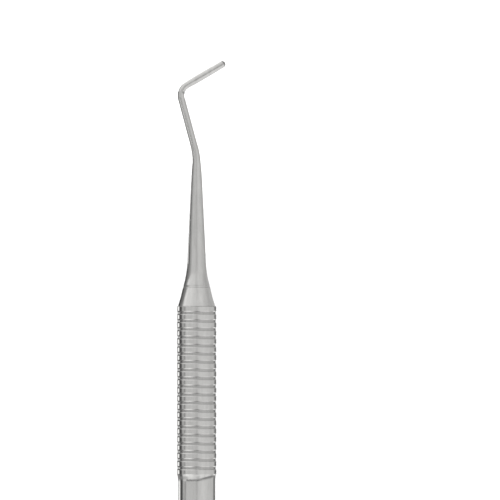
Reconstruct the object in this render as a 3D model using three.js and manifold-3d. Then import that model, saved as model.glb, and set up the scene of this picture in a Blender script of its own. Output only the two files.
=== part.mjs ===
// A double-ended dental elevator: a hollow ridged handle with a turned nose cone in each end, and in each cone
// a slender working end, bent twice and ground flat on one side of its blade. The two ends are a mirrored pair.
// Millimetres. The handle's axis runs along X at the height HANDLE_R, so that the handle rests on z = 0, and the
// bends lie in the horizontal plane. End A points to +X. End B is end A taken through the handle's middle point.
import * as THREE from "three";
import { mergeVertices } from "three/addons/utils/BufferGeometryUtils.js";
import Module from "manifold-3d";

const wasm = await Module();
wasm.setup();

// ---- Driving dimensions ----
const HANDLE_SIDES = 28; // facets round the handle's pieces
const SHANK_SIDES = 20; // facets round a working end
const FIT = 0.02; // clearance between faces that are pressed or brazed together

// handle tube: a plain band in the middle, and a ridged zone on each side of it
const HANDLE_R = 4.0; // over the ridges
const PLAIN_R = 3.775;
const BORE_R = 3.0;
const TUBE_HALF_LENGTH = 40.0;
const GROOVE_COUNT = 20; // in each ridged zone
const GROOVE_PITCH = 1.665;
const GROOVE_HALF_WIDTH = 0.4; // at the top
const GROOVE_FLOOR_HALF_WIDTH = 0.2;
const GROOVE_R = 3.885; // at the floor of a groove
const OUTER_RIDGE = 1.36; // from the tube's end to the middle of the nearest groove
const INNER_RIDGE = 1.22; // from the middle of the last groove to the shoulder
const END_CHAMFER = 0.08;
const SHOULDER_LENGTH = 1.55; // the run down from the last ridge to the plain band
const SHOULDER_PULL = { before: 0.5, radius: 3.8 }; // control point of its hollow side
const SHOULDER_STEPS = 4;

// nose cone
const CONE_BASE_R = 3.8;
const CONE_PULL = new THREE.Vector2(41.9, 3.18); // control point of the cone's slightly hollow side
const CONE_TIP = new THREE.Vector2(43.86, 2.77);
const CONE_STEPS = 4;
const SPIGOT_LENGTH = 8.0; // pressed into the tube
const CHAMFER = 0.3; // on the inner ends of the spigot and the tang

// braze ring: it carries the cone's slope on to the shank, so that the seam is nearly flush
const RING_BASE_R = 2.75; // next to the cone
const RING_TIP_R = 2.67; // next to the shank
const RING_THICKNESS = 0.4;

// working end: the bar's radius along its length
const TANG_R = 1.5;
const TANG_START_X = 34.0;
const FLARE_R = 2.66; // where the shank meets the braze ring
const FLARE_PULL = new THREE.Vector2(46.6, 1.95); // control point of the flare's curve
const FLARE_END = new THREE.Vector2(49.4, 1.87);
const FLARE_STEPS = 7;
const TAPER = [
  [FLARE_END.x, FLARE_END.y],
  [54.3, 1.65],
  [59.2, 1.42],
  [64.1, 1.185],
  [67.2, 1.02],
  [69.4, 0.83],
  [73.2, 0.71],
];
const SLIM_R = TAPER.at(-1)[1]; // the lower shank and the elbow keep the last radius
const BLADE_R = 0.79; // the blade is a little wider again
const BLADE_WIDE_FROM = 6.3; // before the centre of the rounded tip
const BLADE_WIDE_TO = 3.2;
const TIP_R = 0.75;

// working end: its bends, with lengths between the corners of the centreline
const SHANK_BEND_X = 70.85;
const SHANK_BEND_RADIUS = 15.5;
const SHANK_BEND_ANGLE = THREE.MathUtils.degToRad(15.06);
const LOWER_SHANK_LENGTH = 13.8;
const ELBOW_RADIUS = 2.5;
const ELBOW_ANGLE = THREE.MathUtils.degToRad(74.76); // turned back, past the handle's axis
const BLADE_LENGTH = 10.17; // from the elbow's corner to the centre of the rounded tip
const BEND_STEP = 0.13; // radians between the rings of facets in a bend
const SAME_PLACE = 1e-4; // rings closer together than this are one ring

// the flat ground on the blade
const FLAT_OFFSET = 0.2; // past the bar's centreline, so that the blade is thinner than a half round
const FLAT_HEADING = THREE.MathUtils.degToRad(-44); // square to the line where the flat ends, past the elbow
const FLAT_PAST_ELBOW = 0.33; // from the elbow's corner to that line
const RUN_OUT_SLOPE = 1.0; // rise over run of the ramp from the flat to the round bar

// ---- Helpers ----
// A turned solid about Y from [length, radius] points, which run outside the solid from its low end to its high end.
function turned(points, sides) {
  return new THREE.LatheGeometry(
    points.map(([length, radius]) => new THREE.Vector2(radius, length)),
    sides,
  );
}

function steel(color, roughness) {
  return new THREE.MeshStandardMaterial({ color, roughness, metalness: 1 });
}

function toSolid(geometry) {
  const bare = geometry.clone();
  bare.deleteAttribute("normal");
  bare.deleteAttribute("uv");
  const merged = mergeVertices(bare, 1e-4);
  return new wasm.Manifold(
    new wasm.Mesh({
      numProp: 3,
      vertProperties: merged.getAttribute("position").array,
      triVerts: new Uint32Array(merged.index.array),
    }),
  );
}

function toGeometry(solid) {
  const mesh = solid.getMesh();
  return new THREE.BufferGeometry()
    .setAttribute("position", new THREE.BufferAttribute(mesh.vertProperties, 3))
    .setIndex(new THREE.BufferAttribute(mesh.triVerts, 1));
}

// ---- Handle tube ----
const LAST_GROOVE = TUBE_HALF_LENGTH - OUTER_RIDGE - (GROOVE_COUNT - 1) * GROOVE_PITCH;
const RIDGED_START = LAST_GROOVE - INNER_RIDGE;

function handleTube() {
  const shoulder = new THREE.QuadraticBezierCurve(
    new THREE.Vector2(RIDGED_START - SHOULDER_LENGTH, PLAIN_R),
    new THREE.Vector2(RIDGED_START - SHOULDER_PULL.before, SHOULDER_PULL.radius),
    new THREE.Vector2(RIDGED_START, HANDLE_R),
  ).getPoints(SHOULDER_STEPS);
  const right = shoulder.map((point) => point.toArray());
  for (let i = 0; i < GROOVE_COUNT; i += 1) {
    const groove = LAST_GROOVE + i * GROOVE_PITCH;
    right.push([groove - GROOVE_HALF_WIDTH, HANDLE_R]);
    right.push([groove - GROOVE_FLOOR_HALF_WIDTH, GROOVE_R]);
    right.push([groove + GROOVE_FLOOR_HALF_WIDTH, GROOVE_R]);
    right.push([groove + GROOVE_HALF_WIDTH, HANDLE_R]);
  }
  right.push([TUBE_HALF_LENGTH - END_CHAMFER, HANDLE_R]);
  right.push([TUBE_HALF_LENGTH, HANDLE_R - END_CHAMFER]);
  const left = right.map(([x, r]) => [-x, r]).reverse();
  const bore = [
    [TUBE_HALF_LENGTH, BORE_R],
    [-TUBE_HALF_LENGTH, BORE_R],
  ];
  return turned([...left, ...right, ...bore, left[0]], HANDLE_SIDES);
}

// ---- Nose cone: a spigot for the tube, and a bore for the working end's tang ----
function noseCone() {
  const base = TUBE_HALF_LENGTH + FIT;
  const spigotR = BORE_R - FIT;
  const spigotEnd = TUBE_HALF_LENGTH - SPIGOT_LENGTH;
  const bore = [spigotEnd, TANG_R + FIT];
  const side = new THREE.QuadraticBezierCurve(
    new THREE.Vector2(base, CONE_BASE_R),
    CONE_PULL,
    CONE_TIP,
  ).getPoints(CONE_STEPS);
  return turned(
    [
      bore,
      [spigotEnd, spigotR - CHAMFER],
      [spigotEnd + CHAMFER, spigotR],
      [base, spigotR],
      ...side.map((point) => point.toArray()),
      [CONE_TIP.x, TANG_R + FIT],
      bore,
    ],
    HANDLE_SIDES,
  );
}

// ---- Braze ring: the filler between the cone's end face and the shank's shoulder ----
const RING_START = CONE_TIP.x + FIT;
const RING_END = RING_START + RING_THICKNESS;

function brazeRing() {
  const hole = [RING_START, TANG_R + FIT];
  return turned(
    [hole, [RING_START, RING_BASE_R], [RING_END, RING_TIP_R], [RING_END, TANG_R + FIT], hole],
    HANDLE_SIDES,
  );
}

// ---- Working end: one bar, with its tang, shank and blade ----
const SHOULDER_X = RING_END + FIT;
const SHANK_TANGENT = SHANK_BEND_RADIUS * Math.tan(SHANK_BEND_ANGLE / 2);
const ELBOW_TANGENT = ELBOW_RADIUS * Math.tan(ELBOW_ANGLE / 2);

// The centreline from the handle's middle to the centre of the rounded tip: straight runs and bends in turn.
const ROUTE = [
  { length: SHANK_BEND_X - SHANK_TANGENT, turn: 0 },
  { length: SHANK_BEND_RADIUS * SHANK_BEND_ANGLE, turn: SHANK_BEND_ANGLE },
  { length: LOWER_SHANK_LENGTH - SHANK_TANGENT - ELBOW_TANGENT, turn: 0 },
  { length: ELBOW_RADIUS * ELBOW_ANGLE, turn: -ELBOW_ANGLE },
  { length: BLADE_LENGTH - ELBOW_TANGENT, turn: 0 },
];
const TIP_CENTRE = ROUTE.reduce((sum, run) => sum + run.length, 0);
const ELBOW_END = TIP_CENTRE - ROUTE.at(-1).length;

// The bar's radius along its length, from the end of the flare to the centre of the rounded tip
const BAR_PROFILE = [
  ...TAPER,
  [ELBOW_END, SLIM_R],
  [TIP_CENTRE - BLADE_WIDE_FROM, BLADE_R],
  [TIP_CENTRE - BLADE_WIDE_TO, BLADE_R],
  [TIP_CENTRE, TIP_R],
];

// Where the centreline is, and which way it heads, after a length of bar. It goes on straight past the last run.
function alongRoute(distance) {
  const at = new THREE.Vector2();
  let heading = 0;
  let left = distance;
  for (const run of [...ROUTE, { length: Infinity, turn: 0 }]) {
    const step = Math.min(left, run.length);
    const turn = run.turn * (step / run.length);
    const chord = turn === 0 ? step : (2 * step * Math.sin(turn / 2)) / turn;
    at.x += chord * Math.cos(heading + turn / 2);
    at.y += chord * Math.sin(heading + turn / 2);
    heading += turn;
    left -= step;
  }
  return { at, heading };
}

// Bends a solid turned about Y, so that its length follows the centreline in the XY plane.
function bend(geometry) {
  const position = geometry.getAttribute("position");
  for (let i = 0; i < position.count; i += 1) {
    const { at, heading } = alongRoute(position.getY(i));
    const across = position.getX(i);
    const x = at.x + across * Math.sin(heading);
    const y = at.y - across * Math.cos(heading);
    position.setXYZ(i, x, y, position.getZ(i));
  }
  return geometry;
}

function barRadius(length) {
  const next = BAR_PROFILE.findIndex(([end]) => end > length);
  if (next < 0) return TIP_R;
  const [[from, fromR], [to, toR]] = BAR_PROFILE.slice(next - 1, next + 1);
  return THREE.MathUtils.mapLinear(length, from, to, fromR, toR);
}

// Rings of the bar from the flare to the rounded tip: at the corners of its profile, at both ends of every bend,
// and every BEND_STEP inside a bend. A place named twice gets one ring.
function barRings() {
  const lengths = BAR_PROFILE.slice(1).map(([length]) => length);
  let from = 0;
  for (const run of ROUTE) {
    const steps = Math.max(1, Math.ceil(Math.abs(run.turn) / BEND_STEP));
    for (let i = 1; i <= steps; i += 1) lengths.push(from + (run.length * i) / steps);
    from += run.length;
  }
  lengths.sort((a, b) => a - b);
  const places = lengths.filter((length, i) => i === 0 || length - lengths[i - 1] > SAME_PLACE);
  return places.map((length) => [length, barRadius(length)]);
}

function roundTip(steps) {
  const points = [];
  for (let i = 1; i < steps; i += 1) {
    const angle = ((i / steps) * Math.PI) / 2;
    points.push([TIP_CENTRE + TIP_R * Math.sin(angle), TIP_R * Math.cos(angle)]);
  }
  points.push([TIP_CENTRE + TIP_R, 0]);
  return points;
}

// The steel that the grinding takes away: a wide slab under the blade, with a ramp at the elbow's end.
function grinding() {
  const depth = 2 * BLADE_R;
  const end = BLADE_LENGTH + depth;
  const side = new THREE.Shape();
  side.moveTo(-FLAT_PAST_ELBOW, FLAT_OFFSET);
  side.lineTo(-FLAT_PAST_ELBOW - depth / RUN_OUT_SLOPE, FLAT_OFFSET - depth);
  side.lineTo(end, FLAT_OFFSET - depth);
  side.lineTo(end, FLAT_OFFSET);
  const slab = new THREE.ExtrudeGeometry(side, { depth: BLADE_LENGTH, bevelEnabled: false });
  slab.translate(0, 0, -BLADE_LENGTH / 2);
  slab.rotateX(Math.PI / 2);
  slab.rotateZ(FLAT_HEADING);
  slab.translate(
    SHANK_BEND_X + LOWER_SHANK_LENGTH * Math.cos(SHANK_BEND_ANGLE),
    LOWER_SHANK_LENGTH * Math.sin(SHANK_BEND_ANGLE),
    0,
  );
  return slab;
}

function workingEnd() {
  const flare = new THREE.QuadraticBezierCurve(
    new THREE.Vector2(SHOULDER_X, FLARE_R),
    FLARE_PULL,
    FLARE_END,
  ).getPoints(FLARE_STEPS);
  const blank = turned(
    [
      [TANG_START_X, 0],
      [TANG_START_X, TANG_R - CHAMFER],
      [TANG_START_X + CHAMFER, TANG_R],
      [SHOULDER_X, TANG_R],
      ...flare.map((point) => point.toArray()),
      ...barRings(),
      ...roundTip(5),
    ],
    SHANK_SIDES,
  );
  return toGeometry(toSolid(bend(blank)).subtract(toSolid(grinding())));
}

// ---- Assembly ----
const handleSteel = steel(0xb9bab8, 0.22);
const shankSteel = steel(0xb4b5b3, 0.28);
const filler = steel(0xb0aca2, 0.35);

function piece(name, geometry, material) {
  const mesh = new THREE.Mesh(geometry, material);
  mesh.name = name;
  return mesh;
}

// The turned pieces are made about Y, so their group lays Y along X.
function endPieces(letter) {
  const pieces = new THREE.Group();
  const round = new THREE.Group();
  round.rotation.z = -Math.PI / 2;
  round.add(piece(`nose_cone_${letter}`, noseCone(), handleSteel));
  round.add(piece(`braze_ring_${letter}`, brazeRing(), filler));
  pieces.add(round, piece(`working_end_${letter}`, workingEnd(), shankSteel));
  return pieces;
}

const elevator = new THREE.Group();
const tube = piece("handle_tube", handleTube(), handleSteel);
tube.rotation.z = -Math.PI / 2;
const endA = endPieces("a");
const endB = endPieces("b");
endB.scale.set(-1, -1, -1);
elevator.add(tube, endA, endB);
elevator.position.z = HANDLE_R;

export default elevator;
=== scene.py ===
# A double-ended dental elevator of polished steel, lying on a pale floor under soft studio light.
# Every CAD node is replaced by a finely made piece of the same size: turned pieces by a lathe function,
# and the two working ends by a bar that is swept along its bent centreline and ground flat on one side
# of the blade.
import math

import bpy
import numpy as np
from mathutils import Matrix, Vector


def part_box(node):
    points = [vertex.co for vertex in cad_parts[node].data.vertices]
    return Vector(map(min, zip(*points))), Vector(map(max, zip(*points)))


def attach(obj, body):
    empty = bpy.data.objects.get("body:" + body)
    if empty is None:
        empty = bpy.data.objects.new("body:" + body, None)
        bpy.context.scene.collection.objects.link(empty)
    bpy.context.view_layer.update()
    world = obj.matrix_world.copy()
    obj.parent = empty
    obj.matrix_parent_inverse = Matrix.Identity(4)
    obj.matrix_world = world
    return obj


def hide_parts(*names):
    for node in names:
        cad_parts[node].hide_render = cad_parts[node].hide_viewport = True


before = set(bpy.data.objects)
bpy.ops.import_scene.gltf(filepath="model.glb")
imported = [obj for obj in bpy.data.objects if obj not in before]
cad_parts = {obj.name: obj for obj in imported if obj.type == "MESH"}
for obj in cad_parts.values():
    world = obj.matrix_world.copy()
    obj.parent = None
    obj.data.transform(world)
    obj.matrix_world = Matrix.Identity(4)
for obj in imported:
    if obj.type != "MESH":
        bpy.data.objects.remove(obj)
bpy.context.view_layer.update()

MM = 0.001  # shapes are worked out in millimetres and written in metres
FIT = 0.02  # clearance between pieces that are fitted together
TINY = 1e-6  # a turn below this is no corner, and no divisor is smaller

# ---- Sizes that the frame gives ----
tube_low, tube_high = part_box("handle_tube")
AXIS_Z = (tube_low.z + tube_high.z) / 2 / MM  # height of the handle's axis over the floor
HANDLE_R = (tube_high.z - tube_low.z) / 2 / MM  # over the ridges
TUBE_END = tube_high.x / MM
cone_low, cone_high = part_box("nose_cone_a")
CONE_BASE_X = TUBE_END + FIT
CONE_BASE_R = (cone_high.z - cone_low.z) / 2 / MM
CONE_TIP_X = cone_high.x / MM
SPIGOT_END_X = cone_low.x / MM
ring_low, ring_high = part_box("braze_ring_a")
RING_BASE_R = (ring_high.z - ring_low.z) / 2 / MM  # next to the cone
SHOULDER_X = ring_high.x / MM + FIT  # where the flare of a working end starts
end_low, end_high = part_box("working_end_a")
TANG_START_X = end_low.x / MM
FLARE_R = (end_high.z - end_low.z) / 2 / MM

# ---- Sizes of the handle's details ----
PLAIN_R = 3.775  # the plain band in the handle's middle
BORE_R = 3.0
GROOVE_COUNT = 20  # in each ridged zone
GROOVE_PITCH = 1.665
GROOVE_HALF_WIDTH = 0.4
GROOVE_FLOOR_HALF_WIDTH = 0.2
GROOVE_R = 3.885
RIDGE_LIP = 0.08  # rounding where a ridge turns down into a groove
OUTER_RIDGE = 1.36  # from the tube's end to the middle of the nearest groove
INNER_RIDGE = 1.22  # from the middle of the last groove to the shoulder
SHOULDER_LENGTH = 1.55  # the run down from the last ridge to the plain band
SHOULDER_PULL = (0.5, 3.8)  # control point of its hollow side: distance before the ridge, and radius
RIDGED_START = TUBE_END - OUTER_RIDGE - (GROOVE_COUNT - 1) * GROOVE_PITCH - INNER_RIDGE

# ---- Sizes of the nose cones and the seams ----
CONE_PULL = (41.9, 3.18)  # control point of the cone's slightly hollow side
CONE_TIP_R = 2.77
RING_TIP_R = 2.67  # next to the shank
TANG_R = 1.5
EDGE = 0.08  # small rounding on turned edges
SEAM_EDGE = 0.05  # and on the edges that meet at a seam
SEAM_SINK = 0.04  # how far the filler shrank below them
CHAMFER = 0.3
CONE_OUTLINE_START = 2.0  # a cone's outline starts and ends this far inside its bore

# ---- Sizes of a working end: (distance, radius) along the bar, and the bends of its centreline ----
FLARE_PULL = (46.6, 1.95)
FLARE_END = (49.4, 1.87)
TAPER = [(54.3, 1.65), (59.2, 1.42), (64.1, 1.185), (67.2, 1.02), (69.4, 0.83), (73.2, 0.71)]
TAPER_ROUNDING = 15.0  # radius of the soft change from one taper to the next
SLIM_R = TAPER[-1][1]  # the lower shank and the elbow keep the last radius
BLADE_R = 0.79  # the blade is a little wider again
BLADE_WIDE_FROM = 6.3  # before the centre of the rounded tip
BLADE_WIDE_TO = 3.2
TIP_R = 0.75
SHANK_BEND_X = 70.85
SHANK_BEND_RADIUS = 15.5
SHANK_BEND_ANGLE = math.radians(15.06)
LOWER_SHANK_LENGTH = 13.8
ELBOW_RADIUS = 2.5
ELBOW_ANGLE = math.radians(74.76)
BLADE_LENGTH = 10.17
FLAT_OFFSET = 0.2  # height of the ground flat over the bar's centreline
FLAT_HEADING = math.radians(-44)  # the ramp from the round bar to the flat runs this way
FLAT_BEFORE_ELBOW = 0.33  # and the flat starts this far before the elbow's corner
RUN_OUT_SLOPE = 1.0
RUN_OUT_SOFTNESS = 0.2  # the grinding wheel leaves a hollow at the foot of the ramp
RUN_OUT_ROOM = 1.0  # length of bar before the elbow that the wheel may touch
GROUND_EDGE = 0.018  # softness of the edge between the flat and the round back
THIN_EDGE_SHARE = 0.15  # but at most this share of the blade's thickness
ON_SURFACE = 0.01  # points closer than this to a surface lie on it
TIP_HALF_WIDTH = math.sqrt(TIP_R**2 - FLAT_OFFSET**2)  # the flat ends in a half circle of this radius
TIP_BEVEL_SLOPE = math.tan(math.radians(50))  # the crescent-shaped bevel that rises from that half circle
BEYOND_BLADE = 2 * BLADE_R  # farther from the centreline than any point of the blade

# ---- Mesh fineness ----
LATHE_STEPS = 144  # round a turned piece
LIP_STEPS = 3  # in a rounding of the handle
CORNER_STEPS = 5  # in a rounding of a cone or a ring
SHOULDER_STEPS = 12
CONE_STEPS = 40
BAR_STEPS = 192  # round a working end
BLEND_STEPS = 8  # where one taper of a working end runs into the next
FLARE_STEPS = 50
COARSE_STATION = 0.4  # the most between two sections of the round shank
FINE_STATION = 0.04  # and between two where the ground flat runs out
BLADE_STATIONS = 30
TIP_STATIONS = 40  # over the rounded tip
FACE_CENTRE_R = 0.01  # the innermost ring on the end face of the tang
RAY_START = 0.45  # the outline of a section is found by rays from this share of its height
RAY_TRIES = 25  # places at which a ray is tested for a ground surface
RAY_HALVINGS = 30  # then the place where it meets that surface is narrowed down
ROUNDING_SHARE = 0.48  # a rounding takes up at most this share of the shorter line beside it
FLAT_KEEPER = 0.008  # a point this far outside each rounding keeps the shading beside it straight
SHARP_ANGLE = math.radians(25)


# ---- Shape helpers ----
def rounded(corners, steps):
    """The line through (x, r, rounding) corners, with each corner turned into an arc of that radius."""
    points = [np.array(corners[0][:2], float)]
    for (x0, r0, _), (x1, r1, radius), (x2, r2, _) in zip(corners, corners[1:], corners[2:]):
        corner = np.array((x1, r1), float)
        before = corner - (x0, r0)
        after = np.array((x2, r2)) - corner
        room = ROUNDING_SHARE * min(np.linalg.norm(before), np.linalg.norm(after)) - FLAT_KEEPER
        before /= np.linalg.norm(before)
        after /= np.linalg.norm(after)
        turn = math.atan2(before[0] * after[1] - before[1] * after[0], before @ after)
        if radius == 0 or abs(turn) < TINY:
            points.append(corner)
            continue
        tangent = min(radius * math.tan(abs(turn) / 2), room)
        reach = tangent / math.tan(abs(turn) / 2)
        start = corner - before * tangent
        side = math.copysign(1, turn)
        centre = start + side * reach * np.array((-before[1], before[0]))
        spoke = start - centre
        points.append(start - before * FLAT_KEEPER)
        for k in range(steps + 1):
            angle = turn * k / steps
            points.append(centre + (spoke[0] * math.cos(angle) - spoke[1] * math.sin(angle),
                                    spoke[0] * math.sin(angle) + spoke[1] * math.cos(angle)))
        points.append(corner + after * (tangent + FLAT_KEEPER))
    points.append(np.array(corners[-1][:2], float))
    return points


def bezier(start, pull, end, steps):
    """Points on a quadratic curve from start to end, both included."""
    start, pull, end = (np.array(p, float) for p in (start, pull, end))
    shares = np.linspace(0, 1, steps + 1)
    return [(1 - t) ** 2 * start + 2 * t * (1 - t) * pull + t**2 * end for t in shares]


def mesh_piece(name, vertices, faces, inverted=False):
    """A smooth-shaded mesh object from points in millimetres about the handle's middle."""
    vertices = np.array(vertices, float)
    if inverted:  # end B is end A taken through the handle's middle point, which turns its faces inside out
        vertices = -vertices
        faces = [tuple(reversed(face)) for face in faces]
    vertices = (vertices + (0, 0, AXIS_Z)) * MM
    mesh = bpy.data.meshes.new(name)
    mesh.from_pydata(vertices.tolist(), [], faces)
    mesh.update()
    mesh.shade_smooth()
    mesh.set_sharp_from_angle(angle=SHARP_ANGLE)
    piece = bpy.data.objects.new(name, mesh)
    bpy.context.scene.collection.objects.link(piece)
    return piece


def ring_faces(rings, sides, closed):
    """Quads between neighbouring rings of vertices, and from the last ring to the first if closed."""
    faces = []
    for i in range(rings if closed else rings - 1):
        here, there = i * sides, (i + 1) % rings * sides
        for k in range(sides):
            after = (k + 1) % sides
            faces.append((here + k, here + after, there + after, there + k))
    return faces


def turned(name, profile, inverted=False):
    """A piece turned about the handle's axis from a closed (x, r) profile with its outside towards +X."""
    angles = np.arange(LATHE_STEPS) * (2 * math.pi / LATHE_STEPS)
    vertices = []
    for x, r in profile:
        ring = np.column_stack((np.full(LATHE_STEPS, x), r * np.sin(angles), r * np.cos(angles)))
        vertices.extend(ring)
    return mesh_piece(name, vertices, ring_faces(len(profile), LATHE_STEPS, True), inverted)


# ---- Turned pieces ----
def handle():
    pull, pull_r = SHOULDER_PULL
    shoulder = bezier((RIDGED_START - SHOULDER_LENGTH, PLAIN_R), (RIDGED_START - pull, pull_r),
                      (RIDGED_START, HANDLE_R), SHOULDER_STEPS)
    right = [(*point, 0) for point in shoulder[:-1]]
    right.append((RIDGED_START, HANDLE_R, RIDGE_LIP))
    for i in range(GROOVE_COUNT):
        middle = RIDGED_START + INNER_RIDGE + i * GROOVE_PITCH
        right.append((middle - GROOVE_HALF_WIDTH, HANDLE_R, RIDGE_LIP))
        right.append((middle - GROOVE_FLOOR_HALF_WIDTH, GROOVE_R, 0))
        right.append((middle + GROOVE_FLOOR_HALF_WIDTH, GROOVE_R, 0))
        right.append((middle + GROOVE_HALF_WIDTH, HANDLE_R, RIDGE_LIP))
    right.append((TUBE_END, HANDLE_R, EDGE))
    right.append((TUBE_END, BORE_R, EDGE))
    left = [(-x, r, rounding) for x, r, rounding in reversed(right)]
    middle_of_bore = (0, BORE_R, 0)
    outline = [middle_of_bore, *left, *right, middle_of_bore]
    return turned("ridged_handle", rounded(outline, LIP_STEPS)[:-1])


def nose_cone(letter):
    side = bezier((CONE_BASE_X, CONE_BASE_R), CONE_PULL, (CONE_TIP_X, CONE_TIP_R), CONE_STEPS)
    spigot_r = BORE_R - FIT
    in_bore = (SPIGOT_END_X + CONE_OUTLINE_START, TANG_R + FIT, 0)
    outline = [
        in_bore,
        (SPIGOT_END_X, TANG_R + FIT, 0),
        (SPIGOT_END_X, spigot_r - CHAMFER, 0),
        (SPIGOT_END_X + CHAMFER, spigot_r, 0),
        (CONE_BASE_X, spigot_r, 0),
        (*side[0], EDGE / 2),
        *[(*point, 0) for point in side[1:-1]],
        (*side[-1], SEAM_EDGE),
        (CONE_TIP_X, TANG_R + FIT, 0),
        in_bore,
    ]
    return turned(f"turned_cone_{letter}", rounded(outline, CORNER_STEPS)[:-1], letter == "b")


def braze_ring(letter):
    """The filler has flowed against the cone and the shank, so it leaves no gap to them."""
    in_bore = ((CONE_TIP_X + SHOULDER_X) / 2, TANG_R + FIT, 0)
    outline = [
        in_bore,
        (CONE_TIP_X, TANG_R + FIT, 0),
        (CONE_TIP_X, RING_BASE_R - SEAM_SINK, SEAM_EDGE),
        (SHOULDER_X, RING_TIP_R - SEAM_SINK, SEAM_EDGE),
        (SHOULDER_X, TANG_R + FIT, 0),
        in_bore,
    ]
    return turned(f"braze_seam_{letter}", rounded(outline, CORNER_STEPS)[:-1], letter == "b")


# ---- Working ends ----
SHANK_TANGENT = SHANK_BEND_RADIUS * math.tan(SHANK_BEND_ANGLE / 2)
ELBOW_TANGENT = ELBOW_RADIUS * math.tan(ELBOW_ANGLE / 2)
ROUTE = [  # (length, turn) of the straight runs and the bends, from the handle's middle to the tip's centre
    (SHANK_BEND_X - SHANK_TANGENT, 0),
    (SHANK_BEND_RADIUS * SHANK_BEND_ANGLE, SHANK_BEND_ANGLE),
    (LOWER_SHANK_LENGTH - SHANK_TANGENT - ELBOW_TANGENT, 0),
    (ELBOW_RADIUS * ELBOW_ANGLE, -ELBOW_ANGLE),
    (BLADE_LENGTH - ELBOW_TANGENT, 0),
]
_, SHANK_BEND_END, ELBOW_START, ELBOW_END, TIP_CENTRE = np.cumsum([length for length, _ in ROUTE])
ELBOW_CORNER = np.array((
    SHANK_BEND_X + LOWER_SHANK_LENGTH * math.cos(SHANK_BEND_ANGLE),
    LOWER_SHANK_LENGTH * math.sin(SHANK_BEND_ANGLE),
))
BLADE_PROFILE = [  # (distance, radius, rounding) past the elbow
    (ELBOW_END, SLIM_R, TAPER_ROUNDING),
    (TIP_CENTRE - BLADE_WIDE_FROM, BLADE_R, TAPER_ROUNDING),
    (TIP_CENTRE - BLADE_WIDE_TO, BLADE_R, TAPER_ROUNDING),
    (TIP_CENTRE, TIP_R, 0),
]


def along_route(distance):
    """Where the bar's centreline is, and which way it heads, after a length of bar."""
    at = np.zeros(2)
    heading = 0.0
    left = distance
    for length, turn in [*ROUTE, (math.inf, 0)]:
        step = min(left, length)
        angle = turn * step / length if turn else 0.0
        chord = 2 * step * math.sin(angle / 2) / angle if angle else step
        at += chord * np.array((math.cos(heading + angle / 2), math.sin(heading + angle / 2)))
        heading += angle
        left -= step
    return at, heading


def ground_height(points):
    """How high the grinding wheel cut, over the centreline's plane, at points in that plane."""
    towards_tip = np.array((math.cos(FLAT_HEADING), math.sin(FLAT_HEADING)))
    past = (points - ELBOW_CORNER) @ towards_tip + FLAT_BEFORE_ELBOW
    fall = np.hypot(np.minimum(past, 0), RUN_OUT_SOFTNESS) - RUN_OUT_SOFTNESS
    return FLAT_OFFSET - RUN_OUT_SLOPE * fall


TIP_AT, BLADE_HEADING = along_route(TIP_CENTRE)
BLADE_DIRECTION = np.array((math.cos(BLADE_HEADING), math.sin(BLADE_HEADING)))


def bevel_height(points):
    """How high the bevel round the tip leaves the steel, at points in the centreline's plane."""
    ahead = (points - TIP_AT) @ BLADE_DIRECTION
    from_centre = np.linalg.norm(points - TIP_AT, axis=-1)
    steepening = from_centre / np.maximum(ahead, TINY)  # the bevel grows steeper towards the blade's sides
    rise = TIP_BEVEL_SLOPE * steepening * (TIP_HALF_WIDTH - from_centre)
    return np.where(ahead > 0, FLAT_OFFSET + rise, BEYOND_BLADE)


def cut_distance(at, side, middle, out, up):
    """How far each ray from the section's middle goes before it meets a ground surface."""
    def clearance(reach):
        places = at + (reach * out)[..., None] * side
        height = middle + reach * up
        return np.minimum(height - ground_height(places), bevel_height(places) - height)

    tries = np.linspace(0, BEYOND_BLADE, RAY_TRIES)
    below = np.array([clearance(np.full(BAR_STEPS, t)) for t in tries]) < 0
    first = np.argmax(below, axis=0)
    meets = below.any(axis=0)
    high = np.where(meets, tries[first], 10 * BEYOND_BLADE)  # a ray that meets nothing ends far away
    low = np.where(meets, tries[np.maximum(first - 1, 0)], high)
    for _ in range(RAY_HALVINGS):
        half = (low + high) / 2
        under = clearance(half) < 0
        high = np.where(meets & under, half, high)
        low = np.where(meets & ~under, half, low)
    return high


def soft_minimum(first, second, softness):
    """The smaller of two lengths, but not below 0, with a rounded change from one to the other."""
    smaller = np.minimum(first, second)
    excess = np.exp((smaller - first) / softness) + np.exp((smaller - second) / softness)
    return np.maximum(smaller - softness * np.log(excess), 0)


def bar_section(distance, radius):
    """The outline of the bar across its centreline, and which of its points lie on the bevel."""
    at, heading = along_route(distance)
    side = np.array((-math.sin(heading), math.cos(heading)))
    may_be_ground = distance > SHANK_BEND_END
    cut = max(float(ground_height(at)), -radius) if may_be_ground else -radius
    top = min(radius, float(bevel_height(at))) if distance > TIP_CENTRE else radius
    middle = cut + RAY_START * (top - cut)
    angles = np.arange(BAR_STEPS) * (2 * math.pi / BAR_STEPS)
    out, up = np.cos(angles), np.sin(angles)
    reach = np.sqrt(np.maximum(radius**2 - (middle * out) ** 2, 0)) - middle * up
    on_bevel = np.zeros(BAR_STEPS, bool)
    if may_be_ground:
        to_cut = cut_distance(at, side, middle, out, up)
        over_flat = middle + to_cut * up - ground_height(at + np.outer(to_cut * out, side))
        on_bevel = (to_cut < reach) & (over_flat > ON_SURFACE)
        reach = soft_minimum(reach, to_cut, min(GROUND_EDGE, THIN_EDGE_SHARE * (top - cut)))
    return np.column_stack((at + np.outer(reach * out, side), middle + reach * up)), on_bevel


def subdivided(points, longest):
    """The same line with a point added wherever two neighbours are farther apart than longest."""
    fine = [points[0]]
    for before, after in zip(points, points[1:]):
        steps = math.ceil(float(np.linalg.norm(after - before)) / longest)
        fine.extend(before + (after - before) * k / steps for k in range(1, steps + 1))
    return fine


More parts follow.
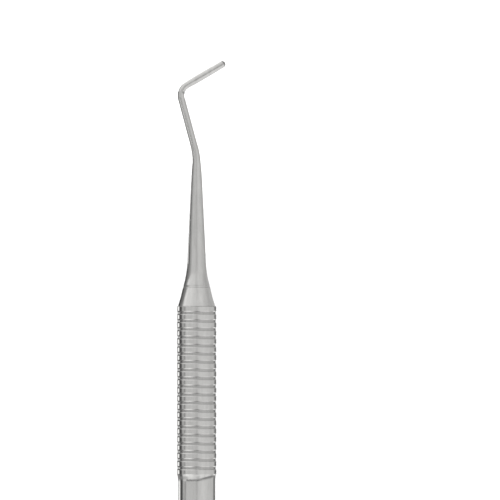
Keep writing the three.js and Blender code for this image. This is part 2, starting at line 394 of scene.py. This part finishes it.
def bar_stations():
    """(distance, radius) pairs along the bar, closer together where the shape changes quickly."""
    flare = bezier((SHOULDER_X, FLARE_R), FLARE_PULL, FLARE_END, FLARE_STEPS)
    fine_from = ELBOW_START - RUN_OUT_ROOM
    fine_to = ELBOW_END + RUN_OUT_ROOM / 2
    round_part = rounded([
        (TANG_START_X, FACE_CENTRE_R, 0),
        (TANG_START_X, TANG_R - CHAMFER, 0),
        (TANG_START_X + CHAMFER, TANG_R, 0),
        (SHOULDER_X, TANG_R, 0),
        (*flare[0], SEAM_EDGE),
        *[(*point, 0) for point in flare[1:-1]],
        *[(*point, TAPER_ROUNDING) for point in [FLARE_END, *TAPER]],
        (fine_from, SLIM_R, 0),
    ], BLEND_STEPS)
    elbow = [(s, SLIM_R) for s in np.arange(fine_from + FINE_STATION, ELBOW_END, FINE_STATION)]
    lengths, radii = np.transpose(rounded(BLADE_PROFILE, BLEND_STEPS))
    past_elbow = np.concatenate((
        np.arange(ELBOW_END, fine_to, FINE_STATION),
        np.linspace(fine_to, TIP_CENTRE, BLADE_STATIONS),
        TIP_CENTRE + TIP_HALF_WIDTH * np.sin(np.linspace(0, math.pi / 2, TIP_STATIONS))[1:-1],
    ))
    blade = [(s, float(np.interp(s, lengths, radii))) for s in past_elbow]
    return [tuple(p) for p in subdivided(round_part, COARSE_STATION)] + elbow + blade


def working_end(letter):
    rings, marks = zip(*(bar_section(distance, radius) for distance, radius in bar_stations()))
    vertices = np.concatenate(rings)
    faces = [tuple(reversed(face)) for face in ring_faces(len(rings), BAR_STEPS, False)]
    tang_vertex = len(vertices)
    tip_vertex = tang_vertex + 1
    last_ring = tang_vertex - BAR_STEPS
    tip_at, _ = along_route(TIP_CENTRE + TIP_HALF_WIDTH)
    vertices = np.vstack((vertices, (TANG_START_X, 0, 0), (*tip_at, FLAT_OFFSET)))
    on_bevel = np.append(np.concatenate(marks), (False, False))
    for k in range(BAR_STEPS):
        after = (k + 1) % BAR_STEPS
        faces.append((tang_vertex, k, after))
        faces.append((tip_vertex, last_ring + after, last_ring + k))
    piece = mesh_piece(f"shaped_end_{letter}", vertices, faces, letter == "b")
    for polygon, face in zip(piece.data.polygons, faces):
        polygon.material_index = int(on_bevel[list(face)].all())
    return piece


# ---- Materials ----
STEEL_TINT = (1.0, 0.992, 0.972)  # a little warmer than grey
GROOVE_PAINTED_SHADE_LEVEL = 0.78  # painted shade: the share of their brightness that the floors of the grooves keep
GROOVE_ROUGHENING = 0.1  # added to the roughness there
GROOVE_MARGIN = 0.03  # the change starts this far below a ridge and ends this far above the floor
LATHE_MARKS = 2e-6  # depths of the tool marks, in metres
POLISH_MARKS = 2e-6
GRINDING_MARKS = 6e-6


def node(tree, kind, inputs=(), **settings):
    """Adds a node, sets or links its inputs, and gives its first output."""
    made = tree.nodes.new(f"ShaderNode{kind}")
    for key, value in settings.items():
        setattr(made, key, value)
    keyed = inputs.items() if isinstance(inputs, dict) else enumerate(inputs)
    for key, value in keyed:
        if isinstance(value, bpy.types.NodeSocket):
            tree.links.new(value, made.inputs[key])
        else:
            made.inputs[key].default_value = value
    return made.outputs[0]


def map_range(tree, value, low, high, to_low, to_high, kind="LINEAR"):
    inputs = {"Value": value, "From Min": low, "From Max": high, "To Min": to_low, "To Max": to_high}
    return node(tree, "MapRange", inputs, interpolation_type=kind)


def grey(level):
    return (level, level, level, 1.0)


def new_material(name):
    material = bpy.data.materials.new(name)
    material.use_nodes = True
    return material, material.node_tree


def object_coordinates(tree):
    return tree.nodes.new("ShaderNodeTexCoord").outputs["Object"]


def polish_smears(tree, place, roughness):
    """Faint smears from polishing along the instrument: their effect on brightness, and the roughness."""
    stretched = node(tree, "VectorMath", [place, (0.2, 1, 1)], operation="MULTIPLY")
    smears = node(tree, "TexNoise", {"Vector": stretched, "Scale": 1300, "Detail": 4, "Roughness": 0.55})
    level = map_range(tree, smears, 0.3, 0.7, 0.92, 1.04)
    rough = map_range(tree, smears, 0.25, 0.75, roughness * 0.8, roughness * 1.3)
    return level, rough


def groove_floors(tree, place, along):
    """1 on the floors of the handle's grooves, and 0 on the ridges and on the plain band."""
    across = node(tree, "VectorMath", [place, (0, 1, 1)], operation="MULTIPLY")
    centred = node(tree, "VectorMath", [across, (0, 0, AXIS_Z * MM)], operation="SUBTRACT")
    distance = node(tree, "VectorMath", [centred], operation="LENGTH").node.outputs["Value"]
    ridge_r = (HANDLE_R - GROOVE_MARGIN) * MM
    floor_r = (GROOVE_R + GROOVE_MARGIN) * MM
    below = map_range(tree, distance, ridge_r, floor_r, 0, 1)
    from_middle = node(tree, "Math", [along], operation="ABSOLUTE")
    ridged = node(tree, "Math", [from_middle, RIDGED_START * MM], operation="GREATER_THAN")
    return node(tree, "Math", [below, ridged], operation="MULTIPLY")


def steel_shader(tree, shine, level, roughness, marks, marks_depth):
    tinted = tuple(shine * part for part in STEEL_TINT)
    colour = node(tree, "VectorMath", {0: tinted, "Scale": level}, operation="SCALE")
    normal = node(tree, "Bump", {"Strength": 0.25, "Distance": marks_depth, "Height": marks})
    shader = tree.nodes["Principled BSDF"]
    shader.inputs["Metallic"].default_value = 1.0
    tree.links.new(colour, shader.inputs["Base Color"])
    tree.links.new(roughness, shader.inputs["Roughness"])
    tree.links.new(normal, shader.inputs["Normal"])


def turned_steel(name, shine, roughness, grooved=False):
    """Bright steel with fine rings from the lathe tool and soft smears; in any grooves the floors are
    rougher, and darker by painted shade.
    """
    material, tree = new_material(name)
    place = object_coordinates(tree)
    along = node(tree, "SeparateXYZ", [place])
    rings = node(tree, "TexNoise", {"W": along, "Scale": 7500, "Detail": 3}, noise_dimensions="1D")
    level, rough = polish_smears(tree, place, roughness)
    if grooved:
        sunk = groove_floors(tree, place, along)
        # painted shade: the floors of the grooves get a darker colour; the roughness added to them is their
        # real duller finish
        painted_groove_shade = map_range(tree, sunk, 0, 1, 1, GROOVE_PAINTED_SHADE_LEVEL)
        level = node(tree, "Math", [level, painted_groove_shade], operation="MULTIPLY")
        rough = node(tree, "Math", [sunk, GROOVE_ROUGHENING, rough], operation="MULTIPLY_ADD")
    steel_shader(tree, shine, level, rough, rings, LATHE_MARKS)
    return material


def worked_steel(name, shine, roughness, marks_depth):
    """The working ends: polished by hand, or freshly ground, with marks that run along the instrument."""
    material, tree = new_material(name)
    place = object_coordinates(tree)
    stretched = node(tree, "VectorMath", [place, (0.12, 1, 1)], operation="MULTIPLY")
    marks = node(tree, "TexNoise", {"Vector": stretched, "Scale": 9000, "Detail": 3})
    level, rough = polish_smears(tree, place, roughness)
    steel_shader(tree, shine, level, rough, marks, marks_depth)
    return material


def paint(piece, material):
    piece.data.materials.append(material)
    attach(piece, "root")


# ---- The object ----
handle_steel = turned_steel("turned_handle_steel", 0.66, 0.13, grooved=True)
cone_steel = turned_steel("turned_cone_steel", 0.66, 0.13)
filler = turned_steel("braze_filler", 0.64, 0.15)
shank_steel = worked_steel("polished_shank_steel", 0.64, 0.15, POLISH_MARKS)
bevel_steel = worked_steel("ground_bevel_steel", 0.5, 0.32, GRINDING_MARKS)

tube = handle()
paint(tube, handle_steel)
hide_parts("handle_tube")
for letter in "ab":
    for make, material, slot, cad_name in (
        (nose_cone, cone_steel, "cone_steel", "nose_cone"),
        (braze_ring, filler, "braze_filler", "braze_ring"),
        (working_end, shank_steel, "shank_steel", "working_end"),
    ):
        piece = make(letter)
        paint(piece, material)
        if make is working_end:
            piece.data.materials.append(bevel_steel)
        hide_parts(f"{cad_name}_{letter}")

# ---- Studio ----
# Light levels of the surroundings. They are laid out by the way that a polished surface has to face to
# mirror them straight up. There is one list for each band of tilts, from a surface that tilts back towards
# -X to one that tilts ahead towards +X. A list holds (angle, level) pairs. Each angle is twice the roll of
# that surface about the handle's axis, in degrees: 0 faces straight up, and positive angles face -Y.
FAR_BEHIND = [
    (-180, 0.25), (-130, 0.12), (-100, 0.25), (-88, 0.4), (-80, 0.8), (-65, 1.15), (-50, 1.3),
    (-40, 1.3), (-25, 0.95), (-12, 0.6), (-2, 0.38), (6, 0.35), (14, 0.6), (24, 0.85), (180, 0.85),
]
BEHIND = [
    (-180, 0.3), (-130, 0.4), (-120, 0.15), (-98, 0.15), (-92, 0.8), (-80, 1.0), (-60, 1.2),
    (-35, 1.1), (-10, 0.92), (5, 0.9), (20, 1.0), (70, 1.03), (90, 0.85), (106, 0.65), (116, 0.75),
    (124, 1.25), (145, 1.2), (160, 0.4), (180, 0.3),
]
NEAR_BEHIND = [
    (-180, 0.3), (-130, 0.35), (-120, 0.25), (-98, 0.3), (-90, 0.6), (-60, 0.75), (-50, 1.0),
    (-35, 1.05), (-10, 0.9), (0, 0.75), (8, 0.66), (14, 0.75), (24, 0.98), (70, 0.97), (90, 0.8),
    (106, 0.65), (116, 0.75), (124, 1.25), (145, 1.2), (160, 0.4), (180, 0.3),
]
GAP = [
    (-180, 0.3), (-146, 0.9), (-128, 1.0), (-120, 0.12), (-100, 0.1), (-95, 0.5), (-85, 0.9),
    (-72, 1.0), (-66, 0.3), (-60, 0.2), (10, 0.2), (25, 0.26), (100, 0.3), (128, 0.4), (140, 0.3),
    (180, 0.3),
]
OVERHEAD = [
    (-180, 0.1), (-158, 0.15), (-146, 1.1), (-142, 1.4), (-129, 1.4), (-123, 0.4), (-117, 0.09),
    (-101, 0.08), (-95, 0.45), (-90, 0.58), (-84, 0.56), (-78, 0.36), (-72, 0.42), (-67, 0.7),
    (-60, 0.78), (-50, 0.74), (-8, 0.74), (-3, 0.64), (6, 0.68), (12, 0.82), (45, 0.84), (60, 0.8),
    (95, 0.72), (122, 0.72), (128, 0.42), (136, 0.3), (150, 0.2), (180, 0.2),
]
ABOVE_TAPER = [
    (-180, 0.1), (-132, 0.13), (-118, 0.25), (-99, 0.32), (-90, 0.42), (-76, 0.56), (-66, 0.68),
    (-59, 0.75), (-44, 0.73), (-15, 0.71), (-4, 0.64), (6, 0.66), (14, 0.74), (26, 0.82), (56, 0.8),
    (72, 0.76), (91, 0.71), (112, 0.6), (145, 0.54), (180, 0.5),
]
AHEAD = [
    (-180, 0.1), (-140, 0.1), (-125, 0.2), (-110, 0.3), (-100, 0.48), (-92, 0.95), (-82, 1.1),
    (-70, 0.98), (-30, 0.92), (-16, 0.86), (-2, 0.77), (6, 0.79), (20, 0.87), (32, 0.85),
    (50, 0.77), (70, 0.69), (92, 0.6), (100, 0.58), (125, 0.62), (180, 0.6),
]
FAR_AHEAD = [
    (-180, 0.3), (-130, 0.5), (-120, 0.65), (-90, 0.88), (-60, 0.98), (-30, 0.98), (0, 0.75),
    (30, 0.68), (65, 0.65), (80, 0.45), (95, 0.25), (150, 0.25), (180, 0.3),
]
HORIZON = [
    (-180, 0.9), (-110, 1.3), (-75, 1.2), (-60, 1.0), (-30, 0.98), (0, 0.75), (30, 0.66),
    (130, 0.62), (145, 0.4), (180, 0.4),
]
SKYLINE = [
    (-180, 0.9), (-110, 1.3), (-48, 1.3), (-36, 1.0), (-20, 0.6), (0, 0.3), (30, 0.25), (150, 0.25),
    (180, 0.4),
]
BANDS = [  # after FAR_BEHIND, each list takes over between these tilts towards +X, in degrees
    (-22, -18, BEHIND),
    (-13, -11, NEAR_BEHIND),
    (-5.2, -4.6, GAP),
    (-3.0, -2.4, OVERHEAD),
    (1.4, 2.2, ABOVE_TAPER),
    (8.6, 9.4, AHEAD),
    (20, 24, FAR_AHEAD),
    (27, 29, HORIZON),
    (36, 42, SKYLINE),
]
SPREAD_BEHIND = (10, 120, 3.3)  # the bands behind widen between these angles, by up to this factor
SPREAD_AHEAD = (-60, -110, 1.75)  # and so do the bands ahead
TOP_LEVEL = 1.6  # a colour ramp holds levels up to 1, so they are stored as shares of this


def ramp_place(angle):
    """Where an angle of the lists stands between the two ends of a colour ramp."""
    return (angle + 180) / 360


def light_ramp(tree, roll, levels):
    made = tree.nodes.new("ShaderNodeValToRGB")
    stops = made.color_ramp.elements
    while len(stops) > 1:
        stops.remove(stops[-1])
    for i, (angle, level) in enumerate(levels):
        stop = stops[0] if i == 0 else stops.new(ramp_place(angle))
        stop.position = ramp_place(angle)
        stop.color = grey(level / TOP_LEVEL)
    tree.links.new(roll, made.inputs[0])
    return made.outputs[0]


def widened(tree, lean, roll, spread):
    """Makes bands wider at some rolls by dividing the lean that picks the band."""
    start, end, factor = spread
    growth = map_range(tree, roll, ramp_place(start), ramp_place(end), 1, factor)
    return node(tree, "Math", [lean, growth], operation="DIVIDE")


def mirror_facing(tree):
    """The way a surface has to face to mirror each direction of the surroundings straight up."""
    direction = tree.nodes.new("ShaderNodeTexCoord").outputs["Generated"]
    towards_up = node(tree, "VectorMath", [direction, (0, 0, 1)], operation="ADD")
    facing = node(tree, "VectorMath", [towards_up], operation="NORMALIZE")
    return node(tree, "SeparateXYZ", [facing]).node.outputs


def studio_levels(tree):
    facing = mirror_facing(tree)
    sideways = node(tree, "Math", [facing["Y"], -1.0], operation="MULTIPLY")
    turn = node(tree, "Math", [sideways, facing["Z"]], operation="ARCTAN2")
    roll = map_range(tree, turn, -math.pi / 2, math.pi / 2, 0, 1)
    lean = node(tree, "Math", [facing["X"]], operation="ARCSINE")
    degrees = node(tree, "Math", [lean], operation="DEGREES")
    lean_back = node(tree, "Math", [degrees, 0.0], operation="MINIMUM")
    lean_ahead = node(tree, "Math", [degrees, 0.0], operation="MAXIMUM")
    behind = widened(tree, lean_back, roll, SPREAD_BEHIND)
    ahead = widened(tree, lean_ahead, roll, SPREAD_AHEAD)
    tilt = node(tree, "Math", [behind, ahead], operation="ADD")
    level = light_ramp(tree, roll, FAR_BEHIND)
    for start, end, levels in BANDS:
        share = map_range(tree, tilt, start, end, 0, 1, "SMOOTHSTEP")
        level = node(tree, "MixRGB", [share, level, light_ramp(tree, roll, levels)])
    return level


def studio_world():
    """The steel mirrors the surroundings, and the camera itself sees plain white beyond the floor."""
    world = bpy.data.worlds.new("soft_studio")
    bpy.context.scene.world = world
    world.use_nodes = True
    tree = world.node_tree
    tree.nodes.clear()
    surroundings = node(tree, "Background", [studio_levels(tree), TOP_LEVEL])
    backdrop = node(tree, "Background", [grey(1.0), 1.0])
    seen_directly = tree.nodes.new("ShaderNodeLightPath").outputs["Is Camera Ray"]
    shader = node(tree, "MixShader", [seen_directly, surroundings, backdrop])
    output = tree.nodes.new("ShaderNodeOutputWorld")
    tree.links.new(shader, output.inputs["Surface"])


FLOOR_REACH = 4.0  # from the middle of the floor to its sides, in metres
SOFTBOX_STRENGTH = 4.0
SOFTBOX_SPREAD = math.radians(110)


def floor():
    corners = [(x * FLOOR_REACH, y * FLOOR_REACH, 0) for x, y in ((-1, -1), (1, -1), (1, 1), (-1, 1))]
    mesh = bpy.data.meshes.new("floor")
    mesh.from_pydata(corners, [], [(0, 1, 2, 3)])
    plane = bpy.data.objects.new("floor", mesh)
    bpy.context.scene.collection.objects.link(plane)
    material, tree = new_material("pale_floor")
    shader = tree.nodes["Principled BSDF"]
    shader.inputs["Base Color"].default_value = grey(0.9)
    shader.inputs["Roughness"].default_value = 1.0
    shader.inputs["Specular IOR Level"].default_value = 0.0
    mesh.materials.append(material)
    plane.visible_glossy = False  # the world's lower half stands for the floor in reflections


def softbox():
    """A very wide soft light straight overhead, which whitens the floor and isn't mirrored in the steel."""
    lamp = bpy.data.lights.new("overhead_softbox", "SUN")
    lamp.energy = SOFTBOX_STRENGTH
    lamp.angle = SOFTBOX_SPREAD
    light = bpy.data.objects.new("overhead_softbox", lamp)
    bpy.context.scene.collection.objects.link(light)
    light.visible_glossy = False


# The camera looks straight down, with the instrument's +X end at the top of the picture.
PICTURE_WIDTH = 102.0  # of the plane through the handle's axis
PICTURE_CENTRE = (51.46, -10.89)  # X and Y of the point that the camera looks down at
LENS = 800.0  # so long that the whole instrument is seen from nearly the same direction
SENSOR = 36.0


def camera():
    lens = bpy.data.cameras.new("camera")
    lens.lens = LENS
    lens.sensor_width = SENSOR
    viewer = bpy.data.objects.new("camera", lens)
    bpy.context.scene.collection.objects.link(viewer)
    height = AXIS_Z + PICTURE_WIDTH * LENS / SENSOR
    viewer.location = Vector((*PICTURE_CENTRE, height)) * MM
    viewer.rotation_euler = (0, 0, math.radians(-90))
    bpy.context.scene.camera = viewer


studio_world()
floor()
softbox()
camera()
bpy.context.scene.view_settings.view_transform = "Standard"
